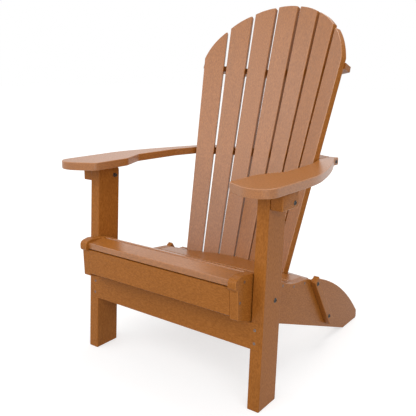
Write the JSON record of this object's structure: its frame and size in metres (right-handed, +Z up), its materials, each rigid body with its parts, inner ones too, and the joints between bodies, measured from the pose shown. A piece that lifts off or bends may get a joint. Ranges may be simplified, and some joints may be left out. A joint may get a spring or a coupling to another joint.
{
  "type": "adirondack chair",
  "caption": "Folding adirondack garden chair of wood-look plastic boards: fan back with arched top, wide flat arms, sloping slatted seat, long stringers that form the rear feet.",
  "frame": {"origin": "on the floor, under the middle of the chair's bounding box, in the use position", "axes": "+X across the chair to the sitter's left, -Y is the way the chair faces, +Z up"},
  "size_m": [0.796, 0.8236, 1.1634],
  "materials": {
    "lumber": "wood-look plastic lumber, satin, fine brushed grain along each board",
    "bolt": "dark coated domed head",
    "screw": "plain stainless steel"
  },
  "bodies": {
    "seat_frame": {"leg_pivot_bolts": "bolt", "leg_pivot_nuts": "screw", "leg_pivot_washers": "screw", "link_low_bolts": "bolt", "link_low_nuts": "screw", "seat_apron": "lumber", "seat_screws": "screw", "seat_slat_1": "lumber", "seat_slat_2": "lumber", "seat_slat_3": "lumber", "seat_slat_4": "lumber", "seat_slat_5": "lumber", "seat_slat_rear": "lumber", "stringer_left": "lumber", "stringer_right": "lumber"},
    "leg_frame": {"front_leg_left": "lumber", "front_leg_right": "lumber", "front_stretcher": "lumber", "stretcher_screws": "screw"},
    "back_links": {"back_link_left": "lumber", "back_link_right": "lumber"},
    "back": {"back_rail_arm": "lumber", "back_rail_lower": "lumber", "back_rail_upper": "lumber", "back_screws": "screw", "back_slat_1": "lumber", "back_slat_2": "lumber", "back_slat_3": "lumber", "back_slat_4": "lumber", "back_slat_5": "lumber", "back_slat_6": "lumber", "back_slat_7": "lumber", "link_high_bolts": "bolt"},
    "arms": {"arm_cleat_left": "lumber", "arm_cleat_right": "lumber", "arm_front_bolts": "bolt", "arm_front_nuts": "screw", "arm_front_washers": "screw", "arm_left": "lumber", "arm_rear_bolts": "bolt", "arm_right": "lumber", "cleat_screws": "screw"}
  },
  "joints": [
    {"name": "leg_fold", "type": "hinge", "parent": "seat_frame", "child": "leg_frame", "pos_m": [0, -0.273, 0.306], "axis": [1, 0, 0], "range_deg": [0, 30]},
    {"name": "link_swing", "type": "hinge", "parent": "seat_frame", "child": "back_links", "pos_m": [0, 0.127, 0.112], "axis": [1, 0, 0], "range_deg": [-7.11, 0]},
    {"name": "back_fold", "type": "hinge", "parent": "back_links", "child": "back", "pos_m": [0, 0.033, 0.255], "axis": [1, 0, 0], "range_deg": [0, 32.24]},
    {"name": "arm_fold", "type": "hinge", "parent": "back", "child": "arms", "pos_m": [0, 0.201, 0.6296], "axis": [1, 0, 0], "range_deg": [-15.98, 0]}
  ],
  "couplings": [
    {"joint": "link_swing", "follows": "leg_fold", "ratio": -0.23657},
    {"joint": "back_fold", "follows": "leg_fold", "ratio": 1.0745},
    {"joint": "arm_fold", "follows": "leg_fold", "ratio": -0.53243}
  ]
}
